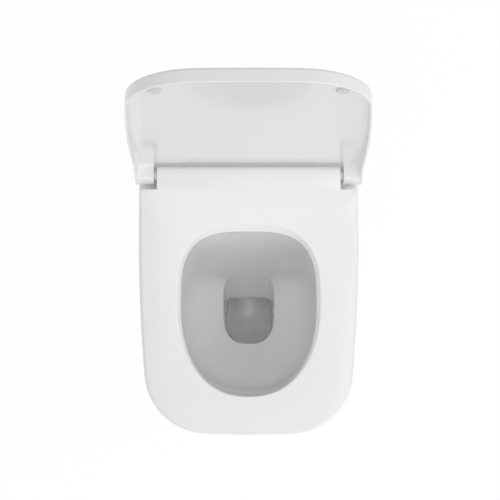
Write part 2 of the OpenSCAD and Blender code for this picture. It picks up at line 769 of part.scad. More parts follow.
module seat_bush_right() {
  color("white") on_pin(1, tab_half - slip_gap - bush_l, tab_half - slip_gap);
}

// Cover, drawn closed about the hinge axis and turned open
lid_in_z = seat_crest + lid_gap;
lid_top_z = lid_in_z + lid_t;
lid_round = 4.5;
lid_chamfer = 0.8;
skirt_t = 3.6;
inner_round = 2;
lid_rear = ear_r + 1;
round_angles = [0 : 22.5 : 90];
inner_angles = [0 : 45 : 90];

module turned_open() {
  translate([0, axis_y, hinge_z]) rotate([-lid_open, 0, 0]) translate([0, -axis_y, 0]) children();
}

module lid_shell() {
  rear_y = axis_y + lid_rear;
  difference() {
    loft(concat(
      [lift(rim_loop(lid_out - lid_chamfer, rear_y), lid_top_z - lid_h),
        lift(rim_loop(lid_out, rear_y), lid_top_z - lid_h + lid_chamfer)],
      [for (a = round_angles) lift(rim_loop(lid_out - lid_round * (1 - cos(a)), rear_y),
        lid_top_z - lid_round * (1 - sin(a)))]));
    loft(concat(
      [lift(rim_loop(lid_out - skirt_t, rear_y + far), lid_top_z - lid_h - cut)],
      [for (a = inner_angles) lift(rim_loop(lid_out - skirt_t - inner_round * (1 - cos(a)), rear_y + far),
        lid_in_z - inner_round * (1 - sin(a)))]));
    translate([-ear_x, axis_y - panel_rear, -far]) cube([2 * ear_x, far, 2 * far]);
    translate([-pan_w, axis_y - cut, -far]) cube([2 * pan_w, far, 2 * far]);
  }
}

// Side view of an ear in [y, z] about the hinge axis
ear_l = 48;
ear_drop = 1.5;
ear_rise = 4;
ear_round = 7;
ear_turn = [-40, -90, -128];
module ear_section() {
  union() {
    circle(r = ear_r);
    polygon(concat(
      [[-ear_l, lid_top_z - lid_h + ear_rise], [-ear_l, lid_top_z - ear_drop], [-lid_round, lid_top_z]],
      arc([lid_rear - ear_round, lid_top_z - ear_round], ear_round, 80, 0, 4),
      [[lid_rear, 0]],
      [for (a = ear_turn) ear_r * [cos(a), sin(a)]]));
  }
}

// Plan of an ear about the hinge axis: it stays behind the seat's shoulder and runs on into the skirt
ear_front = 17;
shoulder_gap = 1.5;
ear_taper = 6;
module ear() {
  intersection() {
    across_x(ear_x, lid_half, axis_y, 0) ear_section();
    translate([0, axis_y, -far]) linear_extrude(2 * far) polygon([
      [ear_x, lid_rear + cut], [ear_x, -ear_front], [lid_half - skirt_t, shoulder_gap - shoulder_l],
      [lid_half - skirt_t, -ear_l + 2 * ear_taper], [lid_half - 1, -ear_l + ear_drop],
      [lid_half, -ear_l + ear_drop], [lid_half, lid_rear + cut]]);
  }
}

damper_end = 0.5;
module lid() {
  color("white") turned_open() difference() {
    union() {
      lid_shell();
      for (s = [-1, 1]) scale([s, 1, 1]) ear();
    }
    for (s = [-1, 1]) scale([s, 1, 1]) along_x(ear_x - cut, pin_end_x + damper_end, axis_y, 0, damper_r);
  }
}

lid_buffer_r = 9.2;
lid_buffer_chamfer = 1;
lid_buffer_gap = 0.5;
lid_buffer_in = 50;
lid_buffer_front = 72;

module lid_buffers() {
  h = lid_gap - lid_buffer_gap;
  color("gainsboro") turned_open() for (s = [-1, 1])
    translate([s * (half_w - lid_buffer_in), -pan_l + lid_buffer_front, lid_in_z - h]) {
      cylinder(h = lid_buffer_chamfer, r1 = lid_buffer_r - lid_buffer_chamfer, r2 = lid_buffer_r);
      translate([0, 0, lid_buffer_chamfer]) cylinder(h = h - lid_buffer_chamfer, r = lid_buffer_r);
    }
}

lid_bush_l = 16;
module lid_damper_right() {
  color("dimgray") on_pin(1, ear_x + slip_gap, pin_end_x + damper_end - slip_gap);
}

module lid_bush_left() {
  color("white") on_pin(-1, ear_x + slip_gap, ear_x + slip_gap + lid_bush_l);
}

pan();
wall_mat();
fixing_bracket(-1);  // fixing_bracket_left
fixing_bracket(1);  // fixing_bracket_right
bracket_washers();
bracket_nuts();
clamp_screw(-1);  // clamp_screw_left
clamp_screw(1);  // clamp_screw_right
side_sleeve(-1);  // side_sleeve_left
side_sleeve(1);  // side_sleeve_right
side_cap(-1);  // side_cap_left
side_cap(1);  // side_cap_right
base_pads();
hinge_base(-1);  // hinge_base_left
hinge_base(1);  // hinge_base_right
seat_bolt(-1);  // seat_bolt_left
seat_bolt(1);  // seat_bolt_right
anchor_sleeve(-1);  // anchor_sleeve_left
anchor_sleeve(1);  // anchor_sleeve_right
anchor_nut(-1);  // anchor_nut_left
anchor_nut(1);  // anchor_nut_right
hinge_post(-1);  // hinge_post_left
hinge_post(1);  // hinge_post_right
hinge_pin(-1);  // hinge_pin_left
hinge_pin(1);  // hinge_pin_right
hinge_collars();
release_clip(-1);  // release_clip_left
release_clip(1);  // release_clip_right
button_spring(-1);  // button_spring_left
button_spring(1);  // button_spring_right
release_button(-1);  // release_button_left
release_button(1);  // release_button_right
seat_ring();
seat_buffers();
seat_damper_left();
seat_bush_right();
lid();
lid_buffers();
lid_damper_right();
lid_bush_left();
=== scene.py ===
# Wall hung toilet with an open cover: glazed ceramic, polished plastics, steel hinge and wall fixings
import bpy
import bmesh
import json
from math import atan2, cos, pi, radians, sin, sqrt
from mathutils import Matrix, Vector


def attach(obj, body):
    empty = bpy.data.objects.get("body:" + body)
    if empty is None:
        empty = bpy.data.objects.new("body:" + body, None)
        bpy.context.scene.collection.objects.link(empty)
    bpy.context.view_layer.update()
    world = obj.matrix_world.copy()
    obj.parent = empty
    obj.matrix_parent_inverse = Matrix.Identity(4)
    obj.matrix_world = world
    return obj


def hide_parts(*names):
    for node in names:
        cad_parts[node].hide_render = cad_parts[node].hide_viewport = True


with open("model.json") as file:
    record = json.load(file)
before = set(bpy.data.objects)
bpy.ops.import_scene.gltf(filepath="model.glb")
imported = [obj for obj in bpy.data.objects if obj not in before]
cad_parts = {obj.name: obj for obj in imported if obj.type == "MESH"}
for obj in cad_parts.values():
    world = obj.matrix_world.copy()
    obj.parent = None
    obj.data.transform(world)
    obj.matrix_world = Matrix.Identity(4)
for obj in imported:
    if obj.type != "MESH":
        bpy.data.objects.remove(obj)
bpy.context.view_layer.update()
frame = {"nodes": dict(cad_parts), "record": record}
cadNodes = frame["nodes"]
print("frame loaded:", len(cadNodes), "nodes")

mm = 0.001
sameSpot = 1e-6  # metres, points closer than this are one
scene = bpy.context.scene

# The outline that pan, seat and cover share, in millimetres from the wall
rimPlan = {
    "length": 530, "halfWidth": 180, "straight": 201,
    "sideRadius": 2570, "cornerRadius": 102, "frontRadius": 1500,
    "rimHeight": 80,
}
hingeAxis = {"y": -111, "z": 99.5}


def mix(a, b, t):
    return a + (b - a) * t


def mixPoint(p, q, t):
    return tuple(mix(a, b, t) for a, b in zip(p, q))


def smoothStep(t):
    t = max(0.0, min(1.0, t))
    return t * t * (3 - 2 * t)


def arcCentres(plan):
    # centres of the side, corner and front arcs, and the angles where they meet
    side = Vector((plan["halfWidth"] - plan["sideRadius"], -plan["straight"]))
    front = Vector((0, plan["frontRadius"] - plan["length"]))
    toFront = plan["frontRadius"] - plan["cornerRadius"]
    toSide = plan["sideRadius"] - plan["cornerRadius"]
    gap = side - front
    along = (toFront ** 2 - toSide ** 2 + gap.length ** 2) / (2 * gap.length)
    across = sqrt(toFront ** 2 - along ** 2)
    unit = gap / gap.length
    corner = front + along * unit + across * Vector((-unit.y, unit.x))
    sideAngle = atan2(corner.y - side.y, corner.x - side.x)
    frontAngle = atan2(corner.y - front.y, corner.x - front.x)
    return side, corner, front, sideAngle, frontAngle


rimArcs = arcCentres(rimPlan)


def arcPoints(centre, radius, start, end, steps):
    angles = [mix(start, end, i / steps) for i in range(1, steps + 1)]
    return [(centre.x + radius * cos(a), centre.y + radius * sin(a)) for a in angles]


def rimHalf(out, rearY, steps):
    # right half of the outline, grown by out, from rearY round to the front centre
    side, corner, front, sideAngle, frontAngle = rimArcs
    width = rimPlan["halfWidth"] + out
    straight, sides, corners, fronts = steps
    points = [(width, mix(rearY, -rimPlan["straight"], i / straight)) for i in range(straight + 1)]
    points += arcPoints(side, rimPlan["sideRadius"] + out, 0, sideAngle, sides)
    points += arcPoints(corner, rimPlan["cornerRadius"] + out, sideAngle, frontAngle, corners)
    points += arcPoints(front, rimPlan["frontRadius"] + out, frontAngle, -pi / 2, fronts)
    return points


def rimLoop(out, rearY, steps, rear):
    # closed loop: rear line from its middle to the right, then round the front and back on the left
    half = [((rimPlan["halfWidth"] + out) * i / rear, rearY) for i in range(rear)]
    half += rimHalf(out, rearY, steps)
    return half + [(-x, y) for x, y in reversed(half[1:-1])]


def roundSteps(angles):
    # how far across and how far down a quarter round lies at each angle, as shares of its radius
    return [(1 - cos(radians(a)), 1 - sin(radians(a))) for a in angles]


def powerReach(angle, power):
    # distance to a squared oval of half widths 1 in the direction of an angle
    return (abs(cos(angle)) ** power + abs(sin(angle)) ** power) ** (-1 / power)


def ringEdges(bm, ring):
    return [bm.edges.get((ring[i - 1], ring[i])) for i in range(len(ring))]


def startRing(bm, points):
    ring = bmesh.ops.create_circle(bm, segments=len(points), radius=1)["verts"]
    for vert, point in zip(ring, points):
        vert.co = Vector(point) * mm
    return ring


def nextRing(bm, ring, points):
    # extrudes the ring's edges and sets the new ring on its points
    made = bmesh.ops.extrude_edge_only(bm, edges=ringEdges(bm, ring))["geom"]
    fresh = {v for v in made if isinstance(v, bmesh.types.BMVert)}
    grown = [next(e.other_vert(v) for e in v.link_edges if e.other_vert(v) in fresh) for v in ring]
    for vert, point in zip(grown, points):
        vert.co = Vector(point) * mm
    return grown


def fillRing(bm, ring):
    bmesh.ops.contextual_create(bm, geom=ringEdges(bm, ring))


def openPlane(bm, planeY, kept):
    # takes away the faces that lie in the plane y = planeY, and gives the edges left open there
    def inPlane(vert):
        return abs(vert.co.y - planeY * mm) < sameSpot

    flat = [f for f in bm.faces if all(inPlane(v) and v not in kept for v in f.verts)]
    bmesh.ops.delete(bm, geom=flat, context="FACES")
    loose = [e for e in bm.edges if not e.link_faces]
    bmesh.ops.delete(bm, geom=loose, context="EDGES")
    return [e for e in bm.edges if e.is_boundary and all(inPlane(v) for v in e.verts)]


def lathe(bm, profile, steps, axis, centre):
    # spins a profile of (radius, along) pairs about an axis through centre and closes it
    turn = Vector(axis).to_track_quat("Z", "Y").to_matrix()
    origin = Vector(centre) * mm
    verts = [bm.verts.new(turn @ Vector((r, 0, h)) * mm + origin) for r, h in profile]
    edges = [bm.edges.new((verts[i], verts[i + 1])) for i in range(len(verts) - 1)]
    bmesh.ops.spin(bm, geom=verts + edges, cent=origin, axis=Vector(axis), angle=2 * pi,
                   steps=steps, use_merge=True)
    bmesh.ops.remove_doubles(bm, verts=bm.verts, dist=sameSpot)


def makeObject(bm, name):
    bmesh.ops.remove_doubles(bm, verts=bm.verts, dist=sameSpot)
    bmesh.ops.recalc_face_normals(bm, faces=bm.faces)
    mesh = bpy.data.meshes.new(name)
    bm.to_mesh(mesh)
    bm.free()
    obj = bpy.data.objects.new(name, mesh)
    scene.collection.objects.link(obj)
    return obj


def applyModifiers(obj):
    depsgraph = bpy.context.evaluated_depsgraph_get()
    baked = bpy.data.meshes.new_from_object(obj.evaluated_get(depsgraph))
    obj.modifiers.clear()
    obj.data = baked


def combine(obj, other, operation):
    # joins or cuts obj with another solid, which is then taken away
    step = obj.modifiers.new(operation.title(), "BOOLEAN")
    step.operation = operation
    step.object = other
    step.solver = "MANIFOLD"
    applyModifiers(obj)
    bpy.data.objects.remove(other)


def addSubdivision(obj, levels):
    step = obj.modifiers.new("Smooth", "SUBSURF")
    step.levels = levels
    step.render_levels = levels


def finishPiece(obj, body, material, replaced, sharp=32):
    obj.data.materials.clear()
    obj.data.materials.append(material)
    for polygon in obj.data.polygons:
        polygon.material_index = 0
    obj.data.shade_smooth()
    obj.data.set_sharp_from_angle(angle=radians(sharp))
    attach(obj, body)
    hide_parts(replaced)


def addBox(bm, low, high, rounding=0):
    # box between two corners, with its edges along y rounded
    made = bmesh.ops.create_cube(bm, size=1)["verts"]
    size, middle = Vector(high) - Vector(low), (Vector(high) + Vector(low)) / 2
    for vert in made:
        vert.co = Vector(a * b for a, b in zip(vert.co, size)) * mm + middle * mm
    if rounding:
        edges = {e for v in made for e in v.link_edges}
        edges = [e for e in edges if abs(e.verts[0].co.y - e.verts[1].co.y) > sameSpot]
        bmesh.ops.bevel(bm, geom=edges, offset=rounding * mm, segments=5, affect="EDGES",
                        profile=0.5, material=-1)


# Materials

def newMaterial(name):
    material = bpy.data.materials.new(name)
    material.use_nodes = True
    shader = material.node_tree.nodes["Principled BSDF"]
    return material, material.node_tree, shader


def makeSurfaceGroup():
    # soft colour drift, roughness drift and a fine height, all from Object coordinates
    group = bpy.data.node_groups.new("surfaceDrift", "ShaderNodeTree")
    face = group.interface
    inputs = [("Coordinates", "NodeSocketVector"), ("Colour", "NodeSocketColor"),
              ("Shade", "NodeSocketColor"), ("Colour Scale", "NodeSocketFloat"),
              ("Roughness", "NodeSocketFloat"), ("Roughness Range", "NodeSocketFloat"),
              ("Grain Scale", "NodeSocketFloat")]
    for name, kind in inputs:
        face.new_socket(name=name, in_out="INPUT", socket_type=kind)
    outputs = [("Colour", "NodeSocketColor"), ("Roughness", "NodeSocketFloat"),
               ("Height", "NodeSocketFloat")]
    for name, kind in outputs:
        face.new_socket(name=name, in_out="OUTPUT", socket_type=kind)
    nodes, links = group.nodes, group.links
    source = nodes.new("NodeGroupInput")
    target = nodes.new("NodeGroupOutput")
    drift = nodes.new("ShaderNodeTexNoise")
    drift.inputs["Detail"].default_value = 3
    links.new(source.outputs["Coordinates"], drift.inputs["Vector"])
    links.new(source.outputs["Colour Scale"], drift.inputs["Scale"])
    blend = nodes.new("ShaderNodeMix")
    blend.data_type = "RGBA"
    links.new(drift.outputs["Fac"], blend.inputs["Factor"])
    links.new(source.outputs["Colour"], blend.inputs["A"])
    links.new(source.outputs["Shade"], blend.inputs["B"])
    links.new(blend.outputs["Result"], target.inputs["Colour"])
    fine = nodes.new("ShaderNodeTexNoise")
    fine.inputs["Detail"].default_value = 5
    links.new(source.outputs["Coordinates"], fine.inputs["Vector"])
    links.new(source.outputs["Grain Scale"], fine.inputs["Scale"])
    spread = nodes.new("ShaderNodeMath")
    spread.operation = "MULTIPLY_ADD"
    links.new(fine.outputs["Fac"], spread.inputs[0])
    links.new(source.outputs["Roughness Range"], spread.inputs[1])
    links.new(source.outputs["Roughness"], spread.inputs[2])
    links.new(spread.outputs["Value"], target.inputs["Roughness"])
    links.new(fine.outputs["Fac"], target.inputs["Height"])
    return group


surfaceGroup = makeSurfaceGroup()


def surfaceMaterial(name, look):
    material, tree, shader = newMaterial(name)
    coords = tree.nodes.new("ShaderNodeTexCoord")
    drift = tree.nodes.new("ShaderNodeGroup")
    drift.node_tree = surfaceGroup
    tree.links.new(coords.outputs["Object"], drift.inputs["Coordinates"])
    drift.inputs["Colour"].default_value = (*look["colour"], 1)
    drift.inputs["Shade"].default_value = (*look["shade"], 1)
    for socket, key in [("Colour Scale", "colourScale"), ("Roughness", "roughness"),
                        ("Roughness Range", "roughnessRange"), ("Grain Scale", "grainScale")]:
        drift.inputs[socket].default_value = look[key]
    tree.links.new(drift.outputs["Colour"], shader.inputs["Base Color"])
    tree.links.new(drift.outputs["Roughness"], shader.inputs["Roughness"])
    bump = tree.nodes.new("ShaderNodeBump")
    bump.inputs["Strength"].default_value = look["bump"]
    bump.inputs["Distance"].default_value = look["bumpDepth"]
    tree.links.new(drift.outputs["Height"], bump.inputs["Height"])
    tree.links.new(bump.outputs["Normal"], shader.inputs["Normal"])
    shader.inputs["Metallic"].default_value = look.get("metallic", 0)
    shader.inputs["Coat Weight"].default_value = look.get("coat", 0)
    shader.inputs["Coat Roughness"].default_value = look.get("coatRoughness", 0.03)
    shader.inputs["IOR"].default_value = look.get("ior", 1.5)
    return material


finishes = {
    "glaze": {
        "colour": (0.93, 0.93, 0.925), "shade": (0.915, 0.916, 0.912), "colourScale": 9,
        "roughness": 0.11, "roughnessRange": 0.07, "grainScale": 34, "bump": 0.04, "bumpDepth": 0.0006,
        "coat": 0.6, "coatRoughness": 0.04, "ior": 1.52},
    "seatPlastic": {
        "colour": (0.89, 0.89, 0.885), "shade": (0.875, 0.876, 0.871), "colourScale": 7,
        "roughness": 0.17, "roughnessRange": 0.06, "grainScale": 70, "bump": 0.03, "bumpDepth": 0.0003,
        "coat": 0.35, "coatRoughness": 0.06},
    "whitePlastic": {
        "colour": (0.84, 0.84, 0.83), "shade": (0.80, 0.80, 0.79), "colourScale": 30,
        "roughness": 0.32, "roughnessRange": 0.1, "grainScale": 260, "bump": 0.12, "bumpDepth": 0.0001},
    "bufferPlastic": {
        "colour": (0.74, 0.745, 0.74), "shade": (0.69, 0.695, 0.69), "colourScale": 40,
        "roughness": 0.4, "roughnessRange": 0.12, "grainScale": 300, "bump": 0.1, "bumpDepth": 0.0001},
    "greyPlastic": {
        "colour": (0.23, 0.235, 0.24), "shade": (0.19, 0.195, 0.2), "colourScale": 40,
        "roughness": 0.38, "roughnessRange": 0.15, "grainScale": 320, "bump": 0.15, "bumpDepth": 0.0001},
    "softRubber": {
        "colour": (0.055, 0.055, 0.058), "shade": (0.085, 0.085, 0.088), "colourScale": 60,
        "roughness": 0.62, "roughnessRange": 0.2, "grainScale": 420, "bump": 0.25, "bumpDepth": 0.0001},
    "foam": {
        "colour": (0.78, 0.78, 0.77), "shade": (0.68, 0.68, 0.67), "colourScale": 160,
        "roughness": 0.8, "roughnessRange": 0.15, "grainScale": 900, "bump": 0.5, "bumpDepth": 0.0004},
    "zincSteel": {
        "colour": (0.62, 0.63, 0.65), "shade": (0.48, 0.49, 0.51), "colourScale": 55,
        "roughness": 0.3, "roughnessRange": 0.25, "grainScale": 140, "bump": 0.12, "bumpDepth": 0.0001,
        "metallic": 1},
    "stainless": {
        "colour": (0.66, 0.66, 0.655), "shade": (0.58, 0.58, 0.575), "colourScale": 30,
        "roughness": 0.2, "roughnessRange": 0.16, "grainScale": 240, "bump": 0.06, "bumpDepth": 0.00005,
        "metallic": 1},
}
materials = {name: surfaceMaterial(name, look) for name, look in finishes.items()}
print("materials made:", len(materials))


# Ceramic pan: one closed skin, over the rim, through bowl and trapway to the spigot, and back inside

pan = {
    "rearY": -4, "drop": 272, "baseLength": 330, "baseWidth": 150, "belly": 1.7,
    "skin": 11, "deck": 15, "wall": 10, "rimRound": 5, "bowlRound": 7,
    "bowlRear": 180, "bowlFront": 475, "bowlHalfWidth": 128, "bowlRows": 22,
    "sumpTop": -150, "sumpFront": 379, "sumpHalfWidth": 45.5, "rampRear": 262, "rampLift": 14,
    "rearFall": 0.8, "frontFall": 3.2, "sideFall": 3,  # how late each wall of the bowl turns to the sump
    "rearPowers": (2.9, 6), "frontPowers": (2.2, 2.7),  # squareness at the rim and at the sump
    "rearSteps": 12, "steps": (11, 29, 16, 12),
    "inletHeight": 35, "inletBore": 27.5, "inletWall": 9, "inletDepth": 45, "inletEnd": 191,
    "channelRadius": 20, "channelEnd": 168,
    "slotHalf": 18, "slotLow": 50, "slotHigh": 63, "slotFront": -205, "slotBack": -150,
    "fixingX": 77.5, "fixingY": -113, "fixingRadius": 8, "fixingDepth": 20,
    "clampY": -70, "sideHole": 11.2, "sideHoleDepth": 24, "capSeat": 15, "capDepth": 3,
}
panHeight = rimPlan["rimHeight"] + pan["drop"]
skinAngles = [90 - 2.5 * i for i in range(36)]


def skinRow(angle, inward):
    # outline of the skin at an angle of its side profile, 0 at the rim and 90 below
    a = radians(angle)
    drawn = 1 - cos(a)
    wide = mix(rimPlan["halfWidth"], pan["baseWidth"] / 2, drawn) - inward
    long = mix(rimPlan["length"], pan["baseLength"], drawn) - inward
    z = rimPlan["rimHeight"] - panHeight * sin(a) ** (2 / pan["belly"]) + inward * sin(a)
    scaleX, scaleY = wide / rimPlan["halfWidth"], long / rimPlan["length"]
    loop = rimLoop(0, pan["rearY"] / scaleY, pan["steps"], pan["rearSteps"])
    return [(x * scaleX, y * scaleY, z) for x, y in loop]


def rimRow(inward, z):
    return [(x, y, z) for x, y in rimLoop(-inward, pan["rearY"], pan["steps"], pan["rearSteps"])]


def bowlAngles():
    # direction of each point of the rim as the bowl sees it, in the bowl's own proportions
    middle = -(pan["bowlRear"] + pan["bowlFront"]) / 2
    half = (pan["bowlFront"] - pan["bowlRear"]) / 2
    return [atan2((y - middle) / half, x / pan["bowlHalfWidth"]) for x, y, z in rimRow(0, 0)]


waterAngles = bowlAngles()


def waterRow(rear, front, halfWidth, rearPower=2, frontPower=2):
    # ring across the waterway, between a rear and a front point given as (y, z)
    row = []
    for angle in waterAngles:
        reach = powerReach(angle, rearPower if sin(angle) > 0 else frontPower)
        y, z = mixPoint(front, rear, (reach * sin(angle) + 1) / 2)
        row.append((halfWidth * reach * cos(angle), y, z))
    return row


def bowlRow(t, out, z=None):
    # ring of the bowl from the rim, t = 0, to the sump, t = 1
    side = t ** pan["sideFall"]
    rear = -mix(pan["bowlRear"], pan["rampRear"], t ** pan["rearFall"]) + out
    front = -mix(pan["bowlFront"], pan["sumpFront"], t ** pan["frontFall"]) - out
    wide = mix(pan["bowlHalfWidth"], pan["sumpHalfWidth"], side) + out
    if z is None:
        z = mix(rimPlan["rimHeight"], pan["sumpTop"], t) - out * t * t
    lift = pan["rampLift"] * side
    return waterRow((rear, z + lift), (front, z), wide, mix(*pan["rearPowers"], side),
                    mix(*pan["frontPowers"], side))


# Sump and dip: rear point, front point, half width and the two powers of each ring
sumpRows = [
    ((-263.5, -140), (-379, -156), 45.3, 7, 2.7),
    ((-268, -148), (-378.6, -167), 44.8, 7, 2.7),
    ((-275, -160), (-377.6, -181), 44, 7.5, 2.65),
    ((-283, -173), (-375.6, -196), 43.2, 8, 2.6),
    ((-290, -184), (-372.6, -209), 42.4, 8, 2.5),
    ((-293.4, -189), (-368.6, -220), 41.8, 8, 2.5),
    ((-293.8, -191), (-363, -229), 41.4, 7, 2.45),
    ((-292.6, -192), (-356, -237), 41, 6, 2.4),
    ((-290, -191.4), (-347, -243.5), 40.6, 5, 2.35),
    ((-286, -189), (-335, -249), 40, 4, 2.3),
    ((-281, -185), (-321, -252.6), 39.2, 3.2, 2.25),
]
trapway = {
    "knots": [(-300, -222), (-263, -212), (-234, -193), (-206, -164), (-182, -134), (-162, -114),
              (-134, -103.5), (-104, -100.6), (-76, -100)],
    "radius": 38, "wall": 9, "spigotZ": -100,
    "spigotBore": [(-66, 38.4), (-61, 39.6), (-57, 41.6), (-54, 43.2), (-50, 44), (-28, 44), (-5.5, 44),
                   (pan["rearY"], 45.5)],
    "spigotOutside": [(-66, 47.6), (-60, 49.5), (-56, 51), (-28, 51), (-5.2, 51), (pan["rearY"], 49.8)],
}


def trapRows(extra):
    # rings square to the trapway's path, at its knots and half way between them, grown by extra
    knots = [Vector(k) for k in trapway["knots"]]
    knots.append(knots[-1])
    ups = []
    for before, after in zip(knots, knots[2:]):
        ahead = after - before
        ups.append(Vector((-ahead.y, ahead.x)).normalized())
    spots = [(knots[1], ups[0])]
    for i in range(1, len(ups)):
        spots.append(((knots[i] + knots[i + 1]) / 2, (ups[i - 1] + ups[i]).normalized()))
        spots.append((knots[i + 1], ups[i]))
    reach = trapway["radius"] + extra
    return [(tuple(spot + up * reach), tuple(spot - up * reach), reach) for spot, up in spots]


def spigotRows(steps):
    return [((y, trapway["spigotZ"] + r), (y, trapway["spigotZ"] - r), r) for y, r in steps]


# The hollow side folds in a notch between the ramp and the trapway's roof
dryRows = [
    ((-267, -158.5), (-392, -176), 55, 5, 2.5),
    ((-266.4, -158), (-390, -196), 54.4, 5, 2.4),
    ((-265.8, -157.6), (-385, -219), 53.6, 4.5, 2.3),
    ((-265, -157.3), (-375, -238), 52.6, 4, 2.3),
    ((-264, -157), (-358, -252.5), 51, 3.4, 2.3),
    ((-263, -156.7), (-330, -261), 49.4, 2.8, 2.2),
    ((-262, -156.4), (-296, -259.5), 48, 2.4, 2.1),
]


def waterSide():
    # underside, skin, rim, deck, bowl, sump and trapway to the end of the spigot
    top = rimPlan["rimHeight"]
    rimRound, bowlRound = pan["rimRound"], pan["bowlRound"]
    rows = [skinRow(angle, 0) for angle in skinAngles]
    for across, down in roundSteps((0, 15, 30, 45, 60, 75, 90)):
        rows.append(rimRow(rimRound * across, top - rimRound * down))
    deck = list(zip(rimRow(rimRound, top), bowlRow(0, bowlRound, top)))
    rows += [[mixPoint(p, q, t) for p, q in deck] for t in (0.1, 0.3, 0.5, 0.7, 0.88, 0.96)]
    for across, down in roundSteps((0, 18, 36, 54, 72)):
        rows.append(bowlRow(0, bowlRound * down, top - bowlRound * across))
    first = bowlRound / (top - pan["sumpTop"])
    rows += [bowlRow(mix(first, 1, i / pan["bowlRows"]), 0) for i in range(pan["bowlRows"] + 1)]
    way = sumpRows + trapRows(0) + spigotRows(trapway["spigotBore"])
    return rows + [waterRow(*row) for row in way]


def hollowSide():
    # the same way inside the hollow, from the underside to the end of the spigot
    under = rimPlan["rimHeight"] - pan["deck"]
    rows = [skinRow(angle, pan["skin"]) for angle in skinAngles[:-3]]  # the last three are in the deck
    edge = [(x, y, under) for x, y, z in skinRow(3, pan["skin"])]
    wall = bowlRow(0.06, pan["wall"] + 4, under)
    rows += [edge] + [[mixPoint(p, q, t) for p, q in zip(edge, wall)] for t in (0.3, 0.7)] + [wall]
    rows += [bowlRow(mix(0.085, 0.94, i / 12), pan["wall"]) for i in range(13)]
    way = dryRows + trapRows(trapway["wall"])[1:] + spigotRows(trapway["spigotOutside"])
    return rows + [waterRow(*row) for row in way]


def buildPan():
    bm = bmesh.new()
    spigotEnd = set()
    ring = None
    for row in waterSide() + hollowSide()[::-1]:
        if ring is None:
            ring = startRing(bm, row)
            fillRing(bm, ring)
        else:
            ring = nextRing(bm, ring, row)
        if all(y == pan["rearY"] for x, y, z in row):
            spigotEnd.update(ring)
    fillRing(bm, ring)
    edges = openPlane(bm, pan["rearY"], spigotEnd)
    bmesh.ops.triangle_fill(bm, use_beauty=True, edges=edges, normal=(0, 1, 0))
    return bm


def skinHalfWidth(z):
    share = (rimPlan["rimHeight"] - z) / panHeight
    return mix(rimPlan["halfWidth"], pan["baseWidth"] / 2, 1 - sqrt(1 - share ** pan["belly"]))


def cutPan(obj):
    # flush inlet socket behind, then its channel, the slot, the seat's fixing holes and the side holes
    inlet = (0, 0, pan["inletHeight"])
    bore, channel = pan["inletBore"], pan["channelRadius"]
    outer, start, end = bore + pan["inletWall"], -pan["rearY"], pan["inletEnd"]
    tube = [(0, start), (outer - 1, start), (outer, start + 1), (outer, end), (0, end)]
    bm = bmesh.new()
    lathe(bm, tube, 64, (0, -1, 0), inlet)
    combine(obj, makeObject(bm, "inletTube"), "UNION")
    depth, end = start + pan["inletDepth"], pan["channelEnd"]
    socket = [(0, start - 6), (bore + 4, start - 6), (bore + 1.5, start), (bore, start + 1.5),
              (bore, depth), (channel, depth + 5), (channel, end), (0, end + 4)]
    bm = bmesh.new()
    lathe(bm, socket, 64, (0, -1, 0), inlet)
    combine(obj, makeObject(bm, "flushChannel"), "DIFFERENCE")
    bm = bmesh.new()
    addBox(bm, (-pan["slotHalf"], pan["slotFront"], pan["slotLow"]),
           (pan["slotHalf"], pan["slotBack"], pan["slotHigh"]), 5)
    r, low = pan["fixingRadius"], -pan["fixingDepth"]
    fixing = [(0, low), (r, low), (r, -0.8), (r + 0.8, 0), (r + 1.6, 0.8), (0, 0.8)]
    r, low, capSeat, capLow = pan["sideHole"], -pan["sideHoleDepth"], pan["capSeat"], -pan["capDepth"]
    sideHole = [(0, low), (r, low), (r, capLow), (capSeat, capLow), (capSeat, -0.4), (capSeat + 3, 2.6),
                (0, 2.6)]
    for side in (-1, 1):
        x = side * pan["fixingX"]
        lathe(bm, fixing, 40, (0, 0, 1), (x, pan["fixingY"], rimPlan["rimHeight"]))
        lathe(bm, sideHole, 48, (side, 0, 0), (side * skinHalfWidth(0), pan["clampY"], 0))
    combine(obj, makeObject(bm, "panHoles"), "DIFFERENCE")


ceramicPan = makeObject(buildPan(), "ceramicPan")
cutPan(ceramicPan)
finishPiece(ceramicPan, "pan_body", materials["glaze"], "pan")
print("ceramic pan made:", len(ceramicPan.data.polygons), "faces")


# Seat ring: crowned ring with a bevelled opening, a barrel tab for the hinge and a ribbed underside

seat = {
    "inset": 4, "shoulderY": -134.5, "cornerRadius": 6, "bottom": 87.5, "crest": 112.5, "edgeRound": 1.4,
    "crownWidth": 45, "crownSlope": 4.4, "crownPower": 1.6,
    "edgeWidth": 4, "crownEdge": 3.6, "edgePower": 2.67,
    "riseStart": 40, "riseLength": 36, "riseShare": 0.75, "rearShare": 0.25, "rearBlend": 14,
    "openHalfWidth": 115.5, "openRear": -189.7, "openFront": -468, "openMiddle": 0.44,
    "bevelRear": 13, "bevelSide": 6, "bevelFront": 1,
    "rearPower": 2.7, "footPower": 3.2, "frontPower": 2.25,
    "rib": 12, "openRib": 9, "cavity": 11, "cavityRear": -164.5, "steps": (6, 28, 18, 12),
    "tabHalf": 148.7, "tabRadius": 16.5, "tabTopFrom": 5.5,
    "pocketHalf": 104.5, "pocketTop": 9, "pocketFront": -13, "pocketReach": 30,
    "damperRadius": 9.5, "bossRadius": 12, "bufferSpots": [(104, -458), (148, -241)],
    "footRadius": 8, "footGap": 0.3,
}
crownSteps = (0, 0.25, 0.7, 1.4, 2.4, 4, 7, 12, 20, 30, 45)


